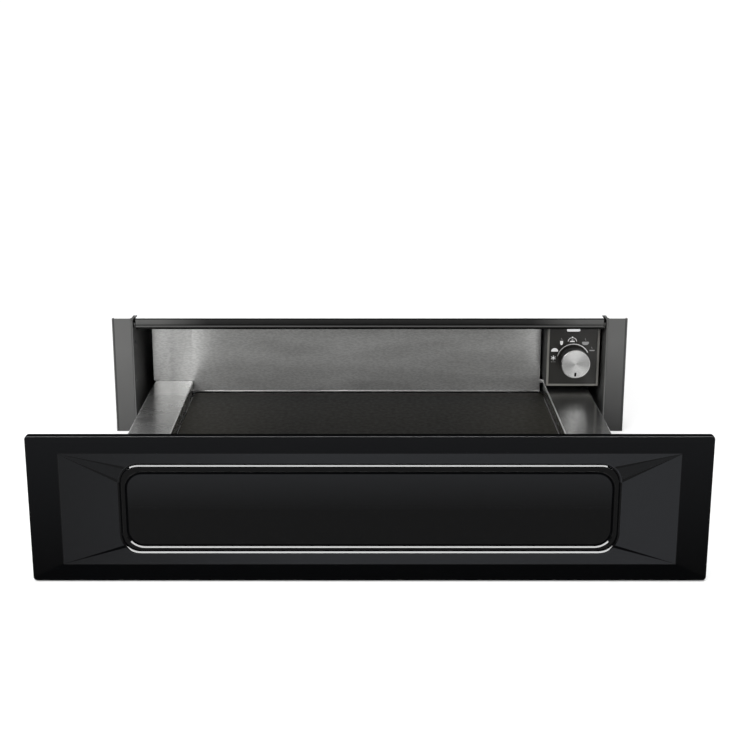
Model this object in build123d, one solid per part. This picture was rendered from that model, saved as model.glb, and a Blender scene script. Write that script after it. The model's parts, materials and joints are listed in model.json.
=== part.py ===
from build123d import *
import math
import os

# Built-in warming drawer, in millimetres.  The origin is the centre of the cabinet's underside,
# +Z is up and the drawer opens towards -Y.  It is modelled with the drawer open.

# ---------------------------------------------------------------- driving dimensions

front_width = 597.0
front_height = 135.3
front_foot = 1.0             # gap below the front's lower edge
front_edge_depth = 6.0       # depth of the enamelled edge
front_depth = 20.0           # front's face to the back of its backing
skin = 1.4                   # thickness of the enamelled skin

cabinet_height = 137.3
cabinet_depth = 540.0
inner_half_width = 274.5     # inner face of a side panel
sheet = 1.5                  # casing sheet

drawer_opening = 385.0       # the front's face stands this far in front of the frame
drawer_length = 442.0        # the front's face to the front of the back wall
gasket_depth = 1.5
closing_gap = 0.3

tray_sheet = 1.2
tray_half_width = 248.0
ledge_half_width = 261.0
ledge_top = 44.0
mat_top = 29.8
mat_thickness = 2.8
left_ledge_edge = -214.2     # inner edges of the two ledges
right_ledge_edge = 210.2
back_wall_left = -262.4
back_wall_right = 206.8
back_wall_top = 118.0

spindle_x = 240.4
spindle_z = 82.0
control_left = 209.4
control_right = 270.9
control_bottom = 49.6
control_top = 128.5
fascia_setback = 20.0        # the fascia lies this far behind the frame's face

runner_depth = 12.7
runner_bottom = 7.0
runner_top = 39.0
runner_metal = 1.2
ball_diameter = 3.2
ball_gap = 0.3

fan_z = 68.0
impeller_radius = 42.0
shaft_radius = 2.5
bearing_clearance = 0.05

# ---------------------------------------------------------------- planes that follow from them

frame_y = -cabinet_depth / 2
rear_y = cabinet_depth / 2
front_y = frame_y - drawer_opening
back_wall_y = front_y + drawer_length
back_wall_rear_y = back_wall_y + tray_sheet
tray_front_y = front_y + front_depth
tray_floor_top = mat_top - mat_thickness
tray_floor_bottom = tray_floor_top - tray_sheet
side_outer = inner_half_width + sheet
front_centre_z = front_foot + front_height / 2
fascia_y = frame_y + fascia_setback
closed_travel = drawer_opening - front_depth - gasket_depth - closing_gap
closed_back_y = back_wall_rear_y + closed_travel
baffle_y = closed_back_y + 10.0
motor_plate_y = baffle_y + 38.0
cover_bottom = cabinet_height - sheet

# ---------------------------------------------------------------- helpers

cut = 1.0                    # how far a cutting tool runs past the face that it cuts


def block(x0, x1, y0, y1, z0, z1):
    """A box between two values on each axis, given in any order."""
    size = Box(abs(x1 - x0), abs(y1 - y0), abs(z1 - z0))
    return Pos((x0 + x1) / 2, (y0 + y1) / 2, (z0 + z1) / 2) * size


def rod_y(radius, x, z, y0, y1):
    """A round bar along Y."""
    bar = Rot(90, 0, 0) * Cylinder(radius, abs(y1 - y0))
    return Pos(x, (y0 + y1) / 2, z) * bar


def rod_x(radius, y, z, x0, x1):
    """A round bar along X."""
    bar = Rot(0, 90, 0) * Cylinder(radius, abs(x1 - x0))
    return Pos((x0 + x1) / 2, y, z) * bar


def rod_z(radius, x, y, z0, z1):
    """A round bar along Z."""
    return Pos(x, y, (z0 + z1) / 2) * Cylinder(radius, abs(z1 - z0))


def plane_y(y):
    """A sketch plane seen from the front: its axes are X and Z, and it extrudes towards -Y."""
    return Plane(origin=(0, y, 0), x_dir=(1, 0, 0), z_dir=(0, -1, 0))


def bent_sheet(points, thickness, bend_radius, y0, y1):
    """Sheet metal of one section in X and Z, given by its middle line, running along Y."""
    middle = FilletPolyline(*points, radius=bend_radius)
    section = trace(middle, line_width=thickness)
    return extrude(plane_y(y1) * section, amount=y1 - y0)


def rounded_slab(width, height, radius, x, z, y0, y1):
    """A rounded rectangle seen from the front, from y0 back to y1."""
    outline = Pos(x, z) * RectangleRounded(width, height, radius)
    return extrude(plane_y(y1) * outline, amount=y1 - y0)


def rounded_taper(front_outline, back_outline, y0, y1):
    """Straight walls between two rounded rectangles, each (width, height, corner radius, middle's z)."""
    outlines = []
    for (width, height, radius, z), y in ((front_outline, y0), (back_outline, y1)):
        outlines.append(plane_y(y) * Pos(0, z) * RectangleRounded(width, height, radius))
    return loft(outlines, ruled=True)


def grown(outline, by):
    """A rounded rectangle (width, height, corner radius, middle's z) with its edge moved outwards."""
    width, height, radius, z = outline
    return (width + 2 * by, height + 2 * by, radius + by, z)


def group(solids):
    """Separate solids kept in one node."""
    return Compound(children=list(solids))


bend = 1.0                   # bend radius at the middle of a sheet
parts = {}

# ---------------------------------------------------------------- enamelled front

front_corner = 3.5
edge_rounding = 1.4
recess = (540.6, 103.6, 0.6, front_centre_z)
shoulder = (439.8, 84.6, 18.0, front_centre_z + 0.4)       # the slopes end and the ring begins
crest_inner = (430.4, 72.6, 17.0, front_centre_z - 0.8)    # the ring's band is wider above than below
slope_depth = 1.1
groove_depth = 2.1
groove_inset = 1.4           # wall of the groove round the ring
groove_width = 0.6
crest_inset = 3.5
crest_depth = 1.0
inner_flank = 1.4
inner_flank_depth = 2.0
crease_inset = 1.9
crease_depth = 2.5
panel_inset = 3.4
panel_depth = 1.95
relief_back = 4.0            # back of the skin behind the relief


def front_skin():
    """Enamelled front: border, sloping recess, raised ring and middle panel, open at the back."""
    crest_outer = grown(shoulder, -crest_inset)
    flank_foot = grown(shoulder, -groove_inset - groove_width)
    groove_edge = grown(shoulder, -groove_inset)
    inner_foot = grown(crest_inner, -inner_flank)
    crease = grown(crest_inner, -crease_inset)
    panel_edge = grown(crest_inner, -panel_inset)
    z = front_centre_z

    body = rounded_slab(front_width, front_height, front_corner, 0, z, front_y, front_y + front_edge_depth)
    body = fillet(body.faces().sort_by(Axis.Y)[0].edges(), edge_rounding)
    body -= rounded_taper(recess, shoulder, front_y, front_y + slope_depth)
    body -= rounded_taper(shoulder, groove_edge, front_y + slope_depth, front_y + groove_depth)
    body += rounded_taper(crest_outer, flank_foot, front_y + crest_depth, front_y + groove_depth)
    body -= rounded_taper(crest_inner, inner_foot, front_y + crest_depth, front_y + inner_flank_depth)
    body -= rounded_taper(inner_foot, crease, front_y + inner_flank_depth, front_y + crease_depth)
    body += rounded_taper(panel_edge, crease, front_y + panel_depth, front_y + crease_depth)

    hollow = rounded_slab(front_width - 2 * skin, front_height - 2 * skin, front_corner - skin, 0, z,
                          front_y + skin, front_y + front_edge_depth)
    hollow -= rounded_taper(grown(recess, skin), grown(shoulder, -skin),
                            front_y + skin, front_y + relief_back)
    return body - hollow


parts["front_panel"] = front_skin()

# ---------------------------------------------------------------- what stands behind the skin

backing_half_width = front_width / 2 - 10.0
backing_top = 130.2
backing_bottom = 3.0
backing_front_y = front_y + front_edge_depth
backing_sheet = 1.0
backing_hook_inset = 6.0
insulation_side_gap = 6.0
insulation_gap = 4.0
insulation_front_y = front_y + relief_back + 0.2
gasket_band = 7.0
screw_radius = 2.0
screw_head_radius = 3.8
screw_head = 2.2
screw_z = 16.0
front_screw_insets = (10.0, 24.0)
bracket_outer_x = tray_half_width - tray_sheet - 1.0
bracket_width = 30.0
bracket_metal = 2.0
bracket_foot_length = 24.0
tray_skirt_bottom = 10.0


def front_backing():
    """Shallow steel box behind the skin, hooked into its two side edges."""
    outer = block(-backing_half_width, backing_half_width, backing_front_y, tray_front_y,
                  backing_bottom, backing_top)
    inner_half_width_of_box = backing_half_width - backing_sheet
    outer -= block(-inner_half_width_of_box, inner_half_width_of_box,
                   backing_front_y, tray_front_y - backing_sheet,
                   backing_bottom + backing_sheet, backing_top - backing_sheet)
    for side in (-1, 1):
        outer += block(side * inner_half_width_of_box, side * (front_width / 2 - skin),
                       backing_front_y - backing_sheet, backing_front_y,
                       backing_bottom + backing_hook_inset, backing_top - backing_hook_inset)
    return outer


def front_gasket():
    """Flat seal round the back of the front."""
    edge = (2 * backing_half_width - 2, backing_top - backing_bottom - 1, 4.0,
            (backing_top + backing_bottom) / 2)
    seal = None
    for width, height, radius, z in (edge, grown(edge, 0.5 - gasket_band / 2)):
        slab = rounded_slab(width, height, radius, 0, z, tray_front_y, tray_front_y + gasket_depth)
        seal = slab if seal is None else seal - slab
    return seal


def front_bracket(side):
    """Angle that holds the front's backing to the tray, under the mat's level."""
    x0 = side * bracket_outer_x
    x1 = x0 - side * bracket_width
    top_z = tray_floor_bottom
    upright = block(x0, x1, tray_front_y, tray_front_y + bracket_metal, tray_skirt_bottom, top_z)
    foot = block(x0, x1, tray_front_y + bracket_metal, tray_front_y + bracket_foot_length,
                 top_z - bracket_metal, top_z)
    return upright + foot


def front_screw(x):
    head_y = tray_front_y + bracket_metal
    shank = rod_y(screw_radius, x, screw_z, tray_front_y - backing_sheet - 4, head_y)
    return shank + rod_y(screw_head_radius, x, screw_z, head_y, head_y + screw_head)


parts["front_backing"] = front_backing()
parts["front_insulation"] = block(
    -backing_half_width + insulation_side_gap, backing_half_width - insulation_side_gap,
    insulation_front_y, tray_front_y - backing_sheet,
    backing_bottom + insulation_gap, backing_top - insulation_gap)
parts["front_gasket"] = front_gasket()

front_screws = []
for side, name in ((-1, "left"), (1, "right")):
    bracket = front_bracket(side)
    for inset in front_screw_insets:
        x = side * (bracket_outer_x - inset)
        hole = rod_y(screw_radius, x, screw_z, insulation_front_y + 3, tray_front_y + bracket_metal + cut)
        bracket -= hole
        parts["front_backing"] -= hole
        parts["front_insulation"] -= hole
        front_screws.append(front_screw(x))
    parts[f"{name}_front_bracket"] = bracket
parts["front_screws"] = group(front_screws)

# ---------------------------------------------------------------- drawer tray

ledge_rim = 3.0
half_sheet = tray_sheet / 2
ledge_gap = 0.3              # end gap of what is laid between front and back wall
ledge_front_y = tray_front_y + ledge_gap
ledge_rear_y = back_wall_y - ledge_gap
mat_gap = 0.8
mat_rear_gap = 3.0
wall_return = 4.0
wall_stop_top = ledge_top + 1.5
wall_foot_depth = 2.2
wall_foot_top = mat_top + 1.0


def drawer_tray():
    """Tray under the mat: a sheet with its two long sides turned down for the runners."""
    middle_x = tray_half_width - half_sheet
    middle_z = tray_floor_bottom + half_sheet
    return bent_sheet(
        [(-middle_x, tray_skirt_bottom), (-middle_x, middle_z),
         (middle_x, middle_z), (middle_x, tray_skirt_bottom)],
        tray_sheet, bend, ledge_front_y, back_wall_y)


def ledge(side, inner_edge):
    """Side ledge: riser, top, turned-down rim and a leg that stands on the tray."""
    riser_x = inner_edge + side * half_sheet
    rim_x = side * (ledge_half_width - half_sheet)
    leg_x = side * (tray_half_width - half_sheet)
    top_z = ledge_top - half_sheet
    return_z = ledge_top - ledge_rim - half_sheet
    return bent_sheet(
        [(riser_x, tray_floor_top), (riser_x, top_z), (rim_x, top_z),
         (rim_x, return_z), (leg_x, return_z), (leg_x, tray_floor_top)],
        tray_sheet, bend, ledge_front_y, ledge_rear_y)


def back_wall():
    """Tall rear wall of the drawer, with a top return, a low stop at the right and a foot at the mat."""
    wall = block(back_wall_left, back_wall_right, back_wall_y, back_wall_rear_y,
                 tray_floor_bottom, back_wall_top)
    wall -= block(back_wall_left, -tray_half_width, back_wall_y, back_wall_rear_y,
                  tray_floor_bottom, ledge_top - ledge_rim)
    wall += block(back_wall_left, back_wall_right, back_wall_rear_y, back_wall_rear_y + wall_return,
                  back_wall_top - tray_sheet, back_wall_top)
    wall += block(back_wall_right, ledge_half_width - 0.5, back_wall_y, back_wall_rear_y,
                  ledge_top - ledge_rim, wall_stop_top)
    wall += block(left_ledge_edge + ledge_gap, back_wall_right, back_wall_y - wall_foot_depth,
                  back_wall_y, tray_floor_top, wall_foot_top)
    return wall


parts["tray_bottom"] = drawer_tray()
parts["left_ledge"] = ledge(-1, left_ledge_edge)
parts["right_ledge"] = ledge(1, right_ledge_edge)
parts["floor_mat"] = block(
    left_ledge_edge + mat_gap, right_ledge_edge - mat_gap,
    ledge_front_y + mat_gap, ledge_rear_y - mat_rear_gap,
    tray_floor_top, mat_top)
parts["back_wall"] = back_wall()

# ---------------------------------------------------------------- runners

runner_outer_face = ledge_half_width + 0.4       # cabinet side of a runner
runner_length = 430.0
runner_fixed_front_y = frame_y + 6.0
runner_fixed_rear_y = runner_fixed_front_y + runner_length
middle_ratio = 0.5
level_step = ball_diameter + 2 * ball_gap + runner_metal
cage_plate = 0.6
cage_length = 200.0
ball_count = 12
bracket_wall = 1.5
bracket_foot = 10.0


def runner_x(side, depth):
    """X of a point that lies a given depth in from the cabinet side of a runner."""
    return side * (runner_outer_face - depth)


def channel(side, web, lips, z0, z1, y0, y1):
    """A channel section: a web between two depths and two flanges out to the lips' depth."""
    solid = block(runner_x(side, web[0]), runner_x(side, web[1]), y0, y1, z0, z1)
    for low, high in ((z0, z0 + runner_metal), (z1 - runner_metal, z1)):
        solid += block(runner_x(side, lips[0]), runner_x(side, lips[1]), y0, y1, low, high)
    return solid


def ball_cage(side, web, strip, z_low, z_high, y0):
    """A pressed cage with a row of balls above and below."""
    y1 = y0 + cage_length
    solid = block(runner_x(side, web[0]), runner_x(side, web[1]), y0, y1,
                  z_low - cage_plate / 2, z_high + cage_plate / 2)
    for z in (z_low, z_high):
        solid += block(runner_x(side, web[0]), runner_x(side, strip), y0, y1,
                       z - cage_plate / 2, z + cage_plate / 2)
    pitch = cage_length / ball_count
    ball_depth = (web[1] + strip) / 2 + 0.6
    for index in range(ball_count):
        y = y0 + pitch * (index + 0.5)
        for z in (z_low, z_high):
            solid += Pos(runner_x(side, ball_depth), y, z) * Sphere(ball_diameter / 2)
    return solid


def runner_bracket(side):
    """Angle on the cabinet's floor that carries a runner."""
    middle_x = side * (runner_outer_face + bracket_wall / 2)
    foot_x = side * (runner_outer_face + bracket_foot)
    foot_z = sheet + bracket_wall / 2
    return bent_sheet([(middle_x, runner_top), (middle_x, foot_z), (foot_x, foot_z)],
                      bracket_wall, bend, runner_fixed_front_y, runner_fixed_rear_y)


outer_z = (runner_bottom, runner_top)
middle_z = (runner_bottom + level_step, runner_top - level_step)
inner_z = (runner_bottom + 2 * level_step, runner_top - 2 * level_step)
cage_z_offset = runner_metal + ball_gap + ball_diameter / 2
middle_front_y = runner_fixed_front_y - closed_travel * middle_ratio + 2.0

for side, name in ((-1, "left"), (1, "right")):
    parts[f"{name}_runner_outer"] = channel(
        side, (0, 1.2), (0, 10.0), *outer_z, runner_fixed_front_y, runner_fixed_rear_y)
    parts[f"{name}_runner_middle"] = channel(
        side, (2.2, 3.4), (2.2, 11.2), *middle_z, middle_front_y, middle_front_y + runner_length - 6.0)
    parts[f"{name}_runner_inner"] = channel(
        side, (11.5, runner_depth), (4.6, runner_depth), *inner_z, tray_front_y + 6.0, back_wall_y - 2.0)
    parts[f"{name}_outer_ball_cage"] = ball_cage(
        side, (1.5, 1.9), 9.5, outer_z[0] + cage_z_offset, outer_z[1] - cage_z_offset,
        runner_fixed_front_y + 4.0)
    parts[f"{name}_inner_ball_cage"] = ball_cage(
        side, (3.7, 4.1), 10.6, middle_z[0] + cage_z_offset, middle_z[1] - cage_z_offset,
        middle_front_y + 8.0)
    parts[f"{name}_runner_bracket"] = runner_bracket(side)

# ---------------------------------------------------------------- cabinet

pan_lip = 5.5
vent_slot = (26.0, 5.0)
vent_pitch = 44.0
vent_row_gap = 14.0
side_flange = 12.0
flange_metal = 1.5
flange_return = 26.0
flange_hem = 6.0
niche_screw_radius = 2.25
niche_screw_y = frame_y + 12.0
niche_screw_heights = (60.0, 106.0)
bar_depth = 16.0
bar_half_width = 271.0
bar_wall_rear = 2.0          # the bar's upright wall ends this far behind the frame's face
bar_groove_z = 131.2
bar_groove_depth = 1.6
bar_lip_top = 130.2
bar_bottom = 125.9
bar_tab_front_y = frame_y + 3.0


def base_pan():
    """Cabinet floor with a front lip and two rows of vents at the rear."""
    pan = block(-inner_half_width, inner_half_width, frame_y, rear_y - sheet, 0, sheet)
    pan += block(-inner_half_width, inner_half_width, frame_y, frame_y + sheet, 0, pan_lip)
    half_length, half_width = vent_slot[0] / 2, vent_slot[1] / 2
    for column in range(-4, 5):
        x = column * vent_pitch
        for row in range(2):
            y = rear_y - 46.0 + row * vent_row_gap
            pan -= block(x - half_length, x + half_length, y - half_width, y + half_width,
                         -cut, sheet + cut)
    return pan


def top_cover():
    """Flat cover that starts right behind the bar's upright wall, notched at the bar's ends."""
    cover = block(-side_outer, side_outer, frame_y + bar_wall_rear + 0.2, rear_y,
                  cover_bottom, cabinet_height)
    for side in (-1, 1):
        cover -= block(side * bar_half_width, side * (side_outer + cut), frame_y, frame_y + bar_depth,
                       cover_bottom - cut, cabinet_height + cut)
    return cover


def side_panel(side):
    """Side wall with a top flange behind the bar."""
    middle_x = side * (inner_half_width + sheet / 2)
    flange_x = side * (inner_half_width - side_flange)
    top_z = cover_bottom - sheet / 2
    panel = bent_sheet([(middle_x, 0), (middle_x, top_z), (flange_x, top_z)],
                       sheet, bend, frame_y + bar_depth, rear_y - sheet)
    return panel + block(side * inner_half_width, side * side_outer,
                         frame_y, frame_y + bar_depth, 0, cover_bottom)


def front_flange(side):
    """Dark strip beside the opening, with a return along the side panel and a hem outside."""
    strip_outer = side * front_width / 2
    flange = block(side * side_outer, side * (side_outer + flange_metal),
                   frame_y, frame_y + flange_return, 0, cabinet_height)
    flange += block(side * (side_outer + flange_metal), strip_outer,
                    frame_y, frame_y + flange_metal, 0, cabinet_height)
    flange += block(strip_outer, strip_outer - side * flange_metal,
                    frame_y + flange_metal, frame_y + flange_hem, 0, cabinet_height)
    return fillet(flange.edges().filter_by(Axis.Z).group_by(Axis.Y)[0], 0.6)


def top_front_bar():
    """Rail above the opening: upright wall with a groove, a lip below it and a flange under the cover."""
    groove_y = frame_y + bar_groove_depth
    inside_y = frame_y + 4.0
    outline = [
        (frame_y + 0.4, cabinet_height),
        (frame_y + 0.4, bar_groove_z + 0.2),
        (groove_y, bar_groove_z - 0.4),
        (groove_y, bar_lip_top + 0.2),
        (frame_y, bar_lip_top - 0.9),
        (frame_y, bar_bottom + 1.2),
        (frame_y + 1.6, bar_bottom),
        (frame_y + 9.0, bar_bottom),
        (frame_y + 9.0, bar_bottom + sheet),
        (inside_y, bar_bottom + sheet),
        (inside_y, cover_bottom - sheet),
        (frame_y + bar_depth, cover_bottom - sheet),
        (frame_y + bar_depth, cover_bottom),
        (frame_y + bar_wall_rear, cover_bottom),
        (frame_y + bar_wall_rear, cabinet_height),
    ]
    across = Plane(origin=(-bar_half_width, 0, 0), x_dir=(0, 1, 0), z_dir=(1, 0, 0))
    bar = extrude(across * make_face(Polyline(*outline, close=True)), amount=2 * bar_half_width)
    for side in (-1, 1):
        bar += block(side * bar_half_width, side * inner_half_width,
                     bar_tab_front_y, frame_y + bar_depth, bar_bottom, cover_bottom)
    return bar


parts["base_pan"] = base_pan()
parts["top_cover"] = top_cover()
parts["top_front_bar"] = top_front_bar()
for side, name in ((-1, "left"), (1, "right")):
    panel = side_panel(side)
    flange = front_flange(side)
    for z in niche_screw_heights:
        hole = rod_x(niche_screw_radius, niche_screw_y, z, side * (inner_half_width - cut),
                     side * (side_outer + flange_metal + cut))
        panel -= hole
        flange -= hole
    parts[f"{name}_side_panel"] = panel
    parts[f"{name}_front_flange"] = flange

# ---------------------------------------------------------------- push latch

latch_x = -222.0
latch_z = 98.0
latch_size = (20.0, 10.0, 2.0)
latch_collar = (34.0, 12.0, 2.0)
latch_front_y = baffle_y - 2.0
latch_rear_y = baffle_y + 34.0
plunger_radius = 3.0
plunger_travel = 4.0
striker_thickness = 1.0


def latch_body():
    """Housing of the push latch: a collar against the baffle and a bore for the plunger."""
    body = rounded_slab(*latch_size, latch_x, latch_z, latch_front_y, latch_rear_y)
    body += rounded_slab(*latch_collar, latch_x, latch_z, baffle_y + tray_sheet, baffle_y + 4.0)
    return body - rod_y(plunger_radius + bearing_clearance, latch_x, latch_z,
                        latch_front_y - cut, latch_rear_y - 2)


parts["latch_body"] = latch_body()
parts["latch_plunger"] = rod_y(plunger_radius, latch_x, latch_z,
                               closed_back_y + striker_thickness + closing_gap,
                               latch_rear_y - 2.4 - plunger_travel)
parts["latch_striker"] = rounded_slab(16.0, 12.0, 2.0, latch_x, latch_z,
                                      back_wall_rear_y, back_wall_rear_y + striker_thickness)

# ---------------------------------------------------------------- heater space behind the drawer

baffle_half_width = 244.0
baffle_bottom = sheet + 0.5
baffle_top = cover_bottom - sheet - 0.3
intake_radius = 31.0
intake_slots = 9
intake_pitch = 7.0
intake_slot_height = 4.0
outlet_columns = 7
outlet_first_x = 88.0
outlet_pitch = 12.0
outlet_size = (5.0, 80.0, 2.4)
plate_half_width = 200.0
motor_y = motor_plate_y + tray_sheet
feeler_z = fan_z + 20.0
feeler_x = -96.0
feeler_radius = 3.0
cutout_x = 96.0
element_radius = 52.0
element_tube = 3.25
element_opening = 22.0       # angle left open between the element's two ends
element_start = 270 + element_opening / 2
element_end_x = element_radius * math.cos(math.radians(element_start))
element_end_z = fan_z + element_radius * math.sin(math.radians(element_start))
impeller_front_y = baffle_y + 7.0
impeller_back_y = impeller_front_y + 22.0
impeller_disc = 1.2
blade_count = 12
blade_length = 17.5
blade_middle = 32.75
hub_radius = 9.0
motor_length = 34.0
motor_size = (58.0, 52.0, 4.0)
element_y = (impeller_front_y + impeller_back_y) / 2 + 2


def air_baffle():
    """Front wall of the heater space: slotted intake before the fan and outlets at both sides."""
    baffle = block(-baffle_half_width, baffle_half_width, baffle_y, baffle_y + tray_sheet,
                   baffle_bottom, baffle_top)
    y0, y1 = baffle_y - cut, baffle_y + tray_sheet + cut
    for index in range(intake_slots):
        offset = (index - (intake_slots - 1) / 2) * intake_pitch
        half_length = math.sqrt(intake_radius ** 2 - offset ** 2)
        baffle -= rounded_slab(2 * half_length, intake_slot_height, 1.9, 0, fan_z + offset, y0, y1)
    for side in (-1, 1):
        for index in range(outlet_columns):
            x = side * (outlet_first_x + outlet_pitch * index)
            baffle -= rounded_slab(*outlet_size, x, fan_z, y0, y1)
    width, height, radius = latch_size
    return baffle - rounded_slab(width + 0.4, height + 0.4, radius + 0.2, latch_x, latch_z, y0, y1)


def motor_plate():
    """Back wall of the heater space, bored for the shaft, the element's ends and the feeler."""
    y0, y1 = motor_plate_y - cut, motor_y + cut
    plate = block(-plate_half_width, plate_half_width, motor_plate_y, motor_y, baffle_bottom, baffle_top)
    for side in (-1, 1):
        plate += block(side * plate_half_width, side * (plate_half_width - tray_sheet),
                       baffle_y + tray_sheet, motor_plate_y, baffle_bottom, baffle_top)
        plate -= rod_y(element_tube + 0.2, side * element_end_x, element_end_z, y0, y1)
    plate -= rod_y(shaft_radius + 3.0, 0, fan_z, y0, y1)
    return plate - rod_y(feeler_radius, feeler_x, feeler_z, y0, y1)


def fan_impeller():
    """Radial fan wheel: disc, hub and straight blades."""
    wheel = rod_y(impeller_radius, 0, fan_z, impeller_back_y - impeller_disc, impeller_back_y)
    wheel += rod_y(hub_radius, 0, fan_z, impeller_front_y + 6, impeller_back_y)
    blade_depth = impeller_back_y - impeller_front_y - impeller_disc
    blade_y = impeller_front_y + blade_depth / 2
    for index in range(blade_count):
        blade = Pos(blade_middle, 6, 0) * Box(blade_length, 1.2, blade_depth)
        blade = Rot(90, 0, 0) * Rot(0, 0, index * 360 / blade_count) * blade
        wheel += Pos(0, blade_y, fan_z) * blade
    return wheel - rod_y(shaft_radius, 0, fan_z, impeller_front_y - cut, impeller_back_y + cut)


def fan_motor():
    """Motor behind the plate: laminated body, round core and two fixing ears."""
    motor = rounded_slab(*motor_size, 0, fan_z, motor_y + 4, motor_y + motor_length - 4)
    motor += rod_y(22.0, 0, fan_z, motor_y, motor_y + motor_length)
    for side in (-1, 1):
        motor += block(side * 20, side * 38, motor_y, motor_y + 2, fan_z - 6, fan_z + 6)
    return motor - rod_y(shaft_radius + bearing_clearance, 0, fan_z,
                         motor_y - cut, motor_y + motor_length - 5)


def heating_element():
    """Ring element round the fan, with two ends that pass the motor plate."""
    arc = CenterArc((0, 0), element_radius, element_start, 360 - element_opening)
    path = Plane(origin=(0, element_y, fan_z), x_dir=(1, 0, 0), z_dir=(0, -1, 0)) * arc
    element = sweep(Plane(path @ 0, z_dir=path % 0) * Circle(element_tube), path=path)
    for side in (-1, 1):
        x = side * element_end_x
        element += Pos(x, element_y, element_end_z) * Sphere(element_tube)
        element += rod_y(element_tube, x, element_end_z, element_y, motor_y + 14.0)
    return element


def thermal_cutout():
    """Overheat cut-out: a round body on a flat foot, with two flat terminals."""
    body = rod_y(8.0, cutout_x, feeler_z, motor_y, motor_y + 10)
    body += block(cutout_x - 12, cutout_x + 12, motor_y, motor_y + 1.2, feeler_z - 5, feeler_z + 5)
    for side in (-1, 1):
        x = cutout_x + side * 4
        body += block(x - 3, x + 3, motor_y + 10, motor_y + 16, feeler_z - 0.4, feeler_z + 0.4)
    return body


def air_sensor():
    """Feeler that reaches through the motor plate into the heated air."""
    feeler = rod_y(feeler_radius, feeler_x, feeler_z, motor_plate_y - 26, motor_y + 8)
    return feeler + rod_y(6.0, feeler_x, feeler_z, motor_y, motor_y + 3)


parts["air_baffle"] = air_baffle()
parts["motor_plate"] = motor_plate()
parts["fan_impeller"] = fan_impeller()
parts["fan_shaft"] = rod_y(shaft_radius, 0, fan_z, impeller_front_y + 4, motor_y + motor_length - 6)
parts["fan_motor"] = fan_motor()
parts["heating_element"] = heating_element()
parts["thermal_cutout"] = thermal_cutout()
parts["air_sensor"] = air_sensor()

# ---------------------------------------------------------------- rear panel and mains connection

inlet_x = -180.0
inlet_z = 30.0
inlet_bore = 3.8
inlet_neck = 9.0
inlet_flange = 12.0
rear_inside_y = rear_y - sheet
terminal_z = 96.0
terminal_pitch = 15.0
cover_wall = 1.5
rear_screw_x = 235.0
rear_screw_heights = (20.0, 116.0)
rear_screw_radius = 1.8


def rear_panel():
    """Rear wall with three rows of slots above the motor, the inlet's hole and four screw holes."""
    rear = block(-side_outer, side_outer, rear_inside_y, rear_y, 0, cover_bottom)
    for column in range(-3, 4):
        x = column * 30.0 + 60.0
        for z in (96.0, 106.0, 116.0):
            rear -= block(x - 10, x + 10, rear_inside_y - cut, rear_y + cut, z - 1.5, z + 1.5)
    for x, z in rear_screw_places:
        rear -= rod_y(rear_screw_radius, x, z, rear_inside_y - cut, rear_y + cut)
    return rear - rod_y(inlet_neck, inlet_x, inlet_z, rear_inside_y - cut, rear_y + cut)


def rear_screw(x, z):
    shank = rod_y(rear_screw_radius, x, z, rear_inside_y - 5, rear_y)
    return shank + rod_y(2 * rear_screw_radius, x, z, rear_y, rear_y + 2)


def cable_inlet():
    """Grommet with a neck in the rear panel and a flange at each side of it."""
    bush = rod_y(inlet_neck, inlet_x, inlet_z, rear_inside_y - 10, rear_y)
    bush += rod_y(inlet_flange, inlet_x, inlet_z, rear_y, rear_y + 3.0)
    bush += rod_y(inlet_flange, inlet_x, inlet_z, rear_inside_y - 3.0, rear_inside_y)
    return bush - rod_y(inlet_bore, inlet_x, inlet_z, rear_inside_y - 12, rear_y + 5)


def terminal_block():
    """Three-way terminal: wire funnels from the front and screw bores from below."""
    body = block(inlet_x - 24, inlet_x + 24, rear_inside_y - 16, rear_inside_y,
                 terminal_z - 9, terminal_z + 9)
    for index in (-1, 0, 1):
        x = inlet_x + index * terminal_pitch
        body -= rod_y(3.2, x, terminal_z, rear_inside_y - 18, rear_inside_y - 9)
        body -= rod_z(1.6, x, rear_inside_y - 6, terminal_z - 10, terminal_z - 3)
    return body


def terminal_cover():
    """Box over the terminals, open to the rear panel, with a gap for the wires below."""
    x0, x1 = inlet_x - 29, inlet_x + 29
    y0 = rear_inside_y - 24
    z0, z1 = terminal_z - 15, terminal_z + 14
    cover = block(x0, x1, y0, rear_inside_y, z0, z1)
    cover -= block(x0 + cover_wall, x1 - cover_wall, y0 + cover_wall, rear_inside_y,
                   z0 + cover_wall, z1 - cover_wall)
    return cover - block(inlet_x - 8, inlet_x + 8, rear_inside_y - 14, rear_inside_y, z0 - cut, z0 + 2)


rear_screw_places = [(side * rear_screw_x, z) for side in (-1, 1) for z in rear_screw_heights]
parts["rear_panel"] = rear_panel()
parts["cable_inlet"] = cable_inlet()
parts["terminal_block"] = terminal_block()
parts["terminal_cover"] = terminal_cover()
parts["cabinet_screws"] = group(rear_screw(x, z) for x, z in rear_screw_places)

# ---------------------------------------------------------------- control box

housing_wall = 1.2
housing_depth = 92.0
bezel_band = 2.5
bezel_proud = 1.0
fascia_thickness = 2.0
fascia_corner = 0.6
tab_width = 14.0
tab_pitch = 36.0
spindle_radius = 3.0
lens_x = 239.6
lens_z = 118.0
lens_size = (15.6, 3.2, 1.2)
switch_depth = 30.0
control_x = (control_left + control_right) / 2
control_z = (control_bottom + control_top) / 2
control_width = control_right - control_left
control_height = control_top - control_bottom
fascia_size = (control_width - 2 * bezel_band, control_height - 2 * bezel_band, fascia_corner)
housing_y = fascia_y + fascia_thickness
switch_y = housing_y + 4.0


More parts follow.
